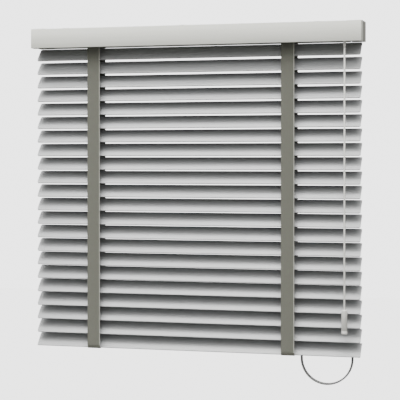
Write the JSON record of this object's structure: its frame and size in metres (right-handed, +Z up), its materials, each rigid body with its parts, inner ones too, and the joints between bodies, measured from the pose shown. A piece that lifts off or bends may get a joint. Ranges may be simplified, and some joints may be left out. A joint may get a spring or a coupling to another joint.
{
  "type": "venetian blind",
  "caption": "Horizontal slatted window blind with ladder tapes, boxed headrail and valance, tilt wand and a pull loop under the bottom rail.",
  "frame": {"origin": "centre of the four ceiling screw holes, on the top faces of the two mounting brackets", "axes": "+X right along the slats, +Y to the window, +Z up"},
  "size_m": [1.025, 0.085, 1.069],
  "materials": {
    "slat_lacquer": "satin",
    "valance_paint": "satin",
    "bracket_steel": "satin",
    "rail_steel": "satin",
    "bright_steel": "brushed",
    "tape_weave": "woven",
    "cord_braid": "braided",
    "nylon_white": "matt",
    "clear_clip": "gloss",
    "wand_plastic": "gloss",
    "grey_plastic": "matt",
    "loop_band": "satin"
  },
  "bodies": {
    "headrail_assembly": {"headrail": "rail_steel", "mounting_brackets": "bracket_steel", "valance": "valance_paint", "valance_clips": "clear_clip", "drum_cradles": "nylon_white", "tilter_housing": "nylon_white", "spring_motor": "nylon_white", "tape_section_01": "tape_weave"},
    "tilt_shaft": {"tilt_rod": "bright_steel", "tape_drums": "nylon_white", "tilter_gear": "nylon_white"},
    "worm": {"tilter_worm": "nylon_white"},
    "hook": {"wand_hook": "wand_plastic"},
    "wand": {"wand": "wand_plastic", "wand_grip": "wand_plastic"},
    "cords": {"lift_cords": "cord_braid"},
    "bottom_rail": {"bottom_rail": "slat_lacquer", "bottom_rail_plugs": "grey_plastic"},
    "pull_loop": {"pull_loop": "loop_band"},
    "tape_02": {"tape_section_02": "tape_weave"},
    "tape_03": {"tape_section_03": "tape_weave"},
    "tape_04": {"tape_section_04": "tape_weave"},
    "tape_05": {"tape_section_05": "tape_weave"},
    "tape_06": {"tape_section_06": "tape_weave"},
    "tape_07": {"tape_section_07": "tape_weave"},
    "tape_08": {"tape_section_08": "tape_weave"},
    "tape_09": {"tape_section_09": "tape_weave"},
    "tape_10": {"tape_section_10": "tape_weave"},
    "tape_11": {"tape_section_11": "tape_weave"},
    "tape_12": {"tape_section_12": "tape_weave"},
    "tape_13": {"tape_section_13": "tape_weave"},
    "tape_14": {"tape_section_14": "tape_weave"},
    "tape_15": {"tape_section_15": "tape_weave"},
    "tape_16": {"tape_section_16": "tape_weave"},
    "tape_17": {"tape_section_17": "tape_weave"},
    "tape_18": {"tape_section_18": "tape_weave"},
    "tape_19": {"tape_section_19": "tape_weave"},
    "tape_20": {"tape_section_20": "tape_weave"},
    "tape_21": {"tape_section_21": "tape_weave"},
    "slat_01": {"slat_01": "slat_lacquer"},
    "slat_02": {"slat_02": "slat_lacquer"},
    "slat_03": {"slat_03": "slat_lacquer"},
    "slat_04": {"slat_04": "slat_lacquer"},
    "slat_05": {"slat_05": "slat_lacquer"},
    "slat_06": {"slat_06": "slat_lacquer"},
    "slat_07": {"slat_07": "slat_lacquer"},
    "slat_08": {"slat_08": "slat_lacquer"},
    "slat_09": {"slat_09": "slat_lacquer"},
    "slat_10": {"slat_10": "slat_lacquer"},
    "slat_11": {"slat_11": "slat_lacquer"},
    "slat_12": {"slat_12": "slat_lacquer"},
    "slat_13": {"slat_13": "slat_lacquer"},
    "slat_14": {"slat_14": "slat_lacquer"},
    "slat_15": {"slat_15": "slat_lacquer"},
    "slat_16": {"slat_16": "slat_lacquer"},
    "slat_17": {"slat_17": "slat_lacquer"},
    "slat_18": {"slat_18": "slat_lacquer"},
    "slat_19": {"slat_19": "slat_lacquer"},
    "slat_20": {"slat_20": "slat_lacquer"},
    "slat_21": {"slat_21": "slat_lacquer"}
  },
  "joints": [
    {"name": "lift", "type": "slide", "parent": "headrail_assembly", "child": "cords", "axis": [0, 0, 1], "range_m": [0, 0.714], "deforming": ["lift_cords"]},
    {"name": "tilt", "type": "hinge", "parent": "cords", "child": "bottom_rail", "pos_m": [0, 0, -0.961], "axis": [1, 0, 0], "range_deg": [-106.5, 13.5]},
    {"name": "loop_hang", "type": "hinge", "parent": "bottom_rail", "child": "pull_loop", "pos_m": [0.4015, 0.01342, -0.97374], "axis": [1, 0, 0], "range_deg": [-14, 107]},
    {"name": "shaft_turn", "type": "hinge", "parent": "headrail_assembly", "child": "tilt_shaft", "pos_m": [0, 0, -0.024], "axis": [1, 0, 0], "range_deg": [-204, 27]},
    {"name": "worm_turn", "type": "hinge", "parent": "headrail_assembly", "child": "worm", "pos_m": [0.462, -0.01327, -0.017], "axis": [0, -0.4665, -0.8845], "range_deg": [-2030, 262]},
    {"name": "wand_swing", "type": "hinge", "parent": "headrail_assembly", "child": "hook", "pos_m": [0.462, -0.037, -0.062], "axis": [-1, 0, 0], "range_deg": [0, 25]},
    {"name": "wand_turn", "type": "hinge", "parent": "hook", "child": "wand", "pos_m": [0.462, -0.037, -0.07], "axis": [0, 0, -1], "range_deg": [-2030, 262]},
    {"name": "gather_02", "type": "slide", "parent": "headrail_assembly", "child": "tape_02", "axis": [0, 0, 1], "range_m": [0, 0.0345], "deforming": ["tape_section_02"]},
    {"name": "gather_03", "type": "slide", "parent": "headrail_assembly", "child": "tape_03", "axis": [0, 0, 1], "range_m": [0, 0.0685], "deforming": ["tape_section_03"]},
    {"name": "gather_04", "type": "slide", "parent": "headrail_assembly", "child": "tape_04", "axis": [0, 0, 1], "range_m": [0, 0.1025], "deforming": ["tape_section_04"]},
    {"name": "gather_05", "type": "slide", "parent": "headrail_assembly", "child": "tape_05", "axis": [0, 0, 1], "range_m": [0, 0.1365], "deforming": ["tape_section_05"]},
    {"name": "gather_06", "type": "slide", "parent": "headrail_assembly", "child": "tape_06", "axis": [0, 0, 1], "range_m": [0, 0.1705], "deforming": ["tape_section_06"]},
    {"name": "gather_07", "type": "slide", "parent": "headrail_assembly", "child": "tape_07", "axis": [0, 0, 1], "range_m": [0, 0.2045], "deforming": ["tape_section_07"]},
    {"name": "gather_08", "type": "slide", "parent": "headrail_assembly", "child": "tape_08", "axis": [0, 0, 1], "range_m": [0, 0.2385], "deforming": ["tape_section_08"]},
    {"name": "gather_09", "type": "slide", "parent": "headrail_assembly", "child": "tape_09", "axis": [0, 0, 1], "range_m": [0, 0.2725], "deforming": ["tape_section_09"]},
    {"name": "gather_10", "type": "slide", "parent": "headrail_assembly", "child": "tape_10", "axis": [0, 0, 1], "range_m": [0, 0.3065], "deforming": ["tape_section_10"]},
    {"name": "gather_11", "type": "slide", "parent": "headrail_assembly", "child": "tape_11", "axis": [0, 0, 1], "range_m": [0, 0.3405], "deforming": ["tape_section_11"]},
    {"name": "gather_12", "type": "slide", "parent": "headrail_assembly", "child": "tape_12", "axis": [0, 0, 1], "range_m": [0, 0.3745], "deforming": ["tape_section_12"]},
    {"name": "gather_13", "type": "slide", "parent": "headrail_assembly", "child": "tape_13", "axis": [0, 0, 1], "range_m": [0, 0.4085], "deforming": ["tape_section_13"]},
    {"name": "gather_14", "type": "slide", "parent": "headrail_assembly", "child": "tape_14", "axis": [0, 0, 1], "range_m": [0, 0.4425], "deforming": ["tape_section_14"]},
    {"name": "gather_15", "type": "slide", "parent": "headrail_assembly", "child": "tape_15", "axis": [0, 0, 1], "range_m": [0, 0.4765], "deforming": ["tape_section_15"]},
    {"name": "gather_16", "type": "slide", "parent": "headrail_assembly", "child": "tape_16", "axis": [0, 0, 1], "range_m": [0, 0.5105], "deforming": ["tape_section_16"]},
    {"name": "gather_17", "type": "slide", "parent": "headrail_assembly", "child": "tape_17", "axis": [0, 0, 1], "range_m": [0, 0.5445], "deforming": ["tape_section_17"]},
    {"name": "gather_18", "type": "slide", "parent": "headrail_assembly", "child": "tape_18", "axis": [0, 0, 1], "range_m": [0, 0.5785], "deforming": ["tape_section_18"]},
    {"name": "gather_19", "type": "slide", "parent": "headrail_assembly", "child": "tape_19", "axis": [0, 0, 1], "range_m": [0, 0.6125], "deforming": ["tape_section_19"]},
    {"name": "gather_20", "type": "slide", "parent": "headrail_assembly", "child": "tape_20", "axis": [0, 0, 1], "range_m": [0, 0.6465], "deforming": ["tape_section_20"]},
    {"name": "gather_21", "type": "slide", "parent": "headrail_assembly", "child": "tape_21", "axis": [0, 0, 1], "range_m": [0, 0.6805], "deforming": ["tape_section_21"]},
    {"name": "tilt_01", "type": "hinge", "parent": "headrail_assembly", "child": "slat_01", "pos_m": [0, 0, -0.079], "axis": [1, 0, 0], "range_deg": [-107, 14]},
    {"name": "tilt_02", "type": "hinge", "parent": "tape_02", "child": "slat_02", "pos_m": [0, 0, -0.121], "axis": [1, 0, 0], "range_deg": [-107, 14]},
    {"name": "tilt_03", "type": "hinge", "parent": "tape_03", "child": "slat_03", "pos_m": [0, 0, -0.163], "axis": [1, 0, 0], "range_deg": [-107, 14]},
    {"name": "tilt_04", "type": "hinge", "parent": "tape_04", "child": "slat_04", "pos_m": [0, 0, -0.205], "axis": [1, 0, 0], "range_deg": [-107, 14]},
    {"name": "tilt_05", "type": "hinge", "parent": "tape_05", "child": "slat_05", "pos_m": [0, 0, -0.247], "axis": [1, 0, 0], "range_deg": [-107, 14]},
    {"name": "tilt_06", "type": "hinge", "parent": "tape_06", "child": "slat_06", "pos_m": [0, 0, -0.289], "axis": [1, 0, 0], "range_deg": [-107, 14]},
    {"name": "tilt_07", "type": "hinge", "parent": "tape_07", "child": "slat_07", "pos_m": [0, 0, -0.331], "axis": [1, 0, 0], "range_deg": [-107, 14]},
    {"name": "tilt_08", "type": "hinge", "parent": "tape_08", "child": "slat_08", "pos_m": [0, 0, -0.373], "axis": [1, 0, 0], "range_deg": [-107, 14]},
    {"name": "tilt_09", "type": "hinge", "parent": "tape_09", "child": "slat_09", "pos_m": [0, 0, -0.415], "axis": [1, 0, 0], "range_deg": [-107, 14]},
    {"name": "tilt_10", "type": "hinge", "parent": "tape_10", "child": "slat_10", "pos_m": [0, 0, -0.457], "axis": [1, 0, 0], "range_deg": [-107, 14]},
    {"name": "tilt_11", "type": "hinge", "parent": "tape_11", "child": "slat_11", "pos_m": [0, 0, -0.499], "axis": [1, 0, 0], "range_deg": [-107, 14]},
    {"name": "tilt_12", "type": "hinge", "parent": "tape_12", "child": "slat_12", "pos_m": [0, 0, -0.541], "axis": [1, 0, 0], "range_deg": [-107, 14]},
    {"name": "tilt_13", "type": "hinge", "parent": "tape_13", "child": "slat_13", "pos_m": [0, 0, -0.583], "axis": [1, 0, 0], "range_deg": [-107, 14]},
    {"name": "tilt_14", "type": "hinge", "parent": "tape_14", "child": "slat_14", "pos_m": [0, 0, -0.625], "axis": [1, 0, 0], "range_deg": [-107, 14]},
    {"name": "tilt_15", "type": "hinge", "parent": "tape_15", "child": "slat_15", "pos_m": [0, 0, -0.667], "axis": [1, 0, 0], "range_deg": [-107, 14]},
    {"name": "tilt_16", "type": "hinge", "parent": "tape_16", "child": "slat_16", "pos_m": [0, 0, -0.709], "axis": [1, 0, 0], "range_deg": [-107, 14]},
    {"name": "tilt_17", "type": "hinge", "parent": "tape_17", "child": "slat_17", "pos_m": [0, 0, -0.751], "axis": [1, 0, 0], "range_deg": [-107, 14]},
    {"name": "tilt_18", "type": "hinge", "parent": "tape_18", "child": "slat_18", "pos_m": [0, 0, -0.793], "axis": [1, 0, 0], "range_deg": [-107, 14]},
    {"name": "tilt_19", "type": "hinge", "parent": "tape_19", "child": "slat_19", "pos_m": [0, 0, -0.835], "axis": [1, 0, 0], "range_deg": [-107, 14]},
    {"name": "tilt_20", "type": "hinge", "parent": "tape_20", "child": "slat_20", "pos_m": [0, 0, -0.877], "axis": [1, 0, 0], "range_deg": [-107, 14]},
    {"name": "tilt_21", "type": "hinge", "parent": "tape_21", "child": "slat_21", "pos_m": [0, 0, -0.919], "axis": [1, 0, 0], "range_deg": [-107, 14]}
  ],
  "couplings": [
    {"joint": "loop_hang", "follows": "tilt", "ratio": -1},
    {"joint": "shaft_turn", "follows": "tilt", "ratio": 1.9},
    {"joint": "worm_turn", "follows": "tilt", "ratio": 19},
    {"joint": "wand_turn", "follows": "tilt", "ratio": 19},
    {"joint": "gather_02", "follows": "lift", "ratio": 0.047619},
    {"joint": "gather_03", "follows": "lift", "ratio": 0.095238},
    {"joint": "gather_04", "follows": "lift", "ratio": 0.14286},
    {"joint": "gather_05", "follows": "lift", "ratio": 0.19048},
    {"joint": "gather_06", "follows": "lift", "ratio": 0.2381},
    {"joint": "gather_07", "follows": "lift", "ratio": 0.28571},
    {"joint": "gather_08", "follows": "lift", "ratio": 0.33333},
    {"joint": "gather_09", "follows": "lift", "ratio": 0.38095},
    {"joint": "gather_10", "follows": "lift", "ratio": 0.42857},
    {"joint": "gather_11", "follows": "lift", "ratio": 0.47619},
    {"joint": "gather_12", "follows": "lift", "ratio": 0.52381},
    {"joint": "gather_13", "follows": "lift", "ratio": 0.57143},
    {"joint": "gather_14", "follows": "lift", "ratio": 0.61905},
    {"joint": "gather_15", "follows": "lift", "ratio": 0.66667},
    {"joint": "gather_16", "follows": "lift", "ratio": 0.71429},
    {"joint": "gather_17", "follows": "lift", "ratio": 0.7619},
    {"joint": "gather_18", "follows": "lift", "ratio": 0.80952},
    {"joint": "gather_19", "follows": "lift", "ratio": 0.85714},
    {"joint": "gather_20", "follows": "lift", "ratio": 0.90476},
    {"joint": "gather_21", "follows": "lift", "ratio": 0.95238},
    {"joint": "tilt_01", "follows": "tilt", "ratio": 1},
    {"joint": "tilt_02", "follows": "tilt", "ratio": 1},
    {"joint": "tilt_03", "follows": "tilt", "ratio": 1},
    {"joint": "tilt_04", "follows": "tilt", "ratio": 1},
    {"joint": "tilt_05", "follows": "tilt", "ratio": 1},
    {"joint": "tilt_06", "follows": "tilt", "ratio": 1},
    {"joint": "tilt_07", "follows": "tilt", "ratio": 1},
    {"joint": "tilt_08", "follows": "tilt", "ratio": 1},
    {"joint": "tilt_09", "follows": "tilt", "ratio": 1},
    {"joint": "tilt_10", "follows": "tilt", "ratio": 1},
    {"joint": "tilt_11", "follows": "tilt", "ratio": 1},
    {"joint": "tilt_12", "follows": "tilt", "ratio": 1},
    {"joint": "tilt_13", "follows": "tilt", "ratio": 1},
    {"joint": "tilt_14", "follows": "tilt", "ratio": 1},
    {"joint": "tilt_15", "follows": "tilt", "ratio": 1},
    {"joint": "tilt_16", "follows": "tilt", "ratio": 1},
    {"joint": "tilt_17", "follows": "tilt", "ratio": 1},
    {"joint": "tilt_18", "follows": "tilt", "ratio": 1},
    {"joint": "tilt_19", "follows": "tilt", "ratio": 1},
    {"joint": "tilt_20", "follows": "tilt", "ratio": 1},
    {"joint": "tilt_21", "follows": "tilt", "ratio": 1}
  ]
}
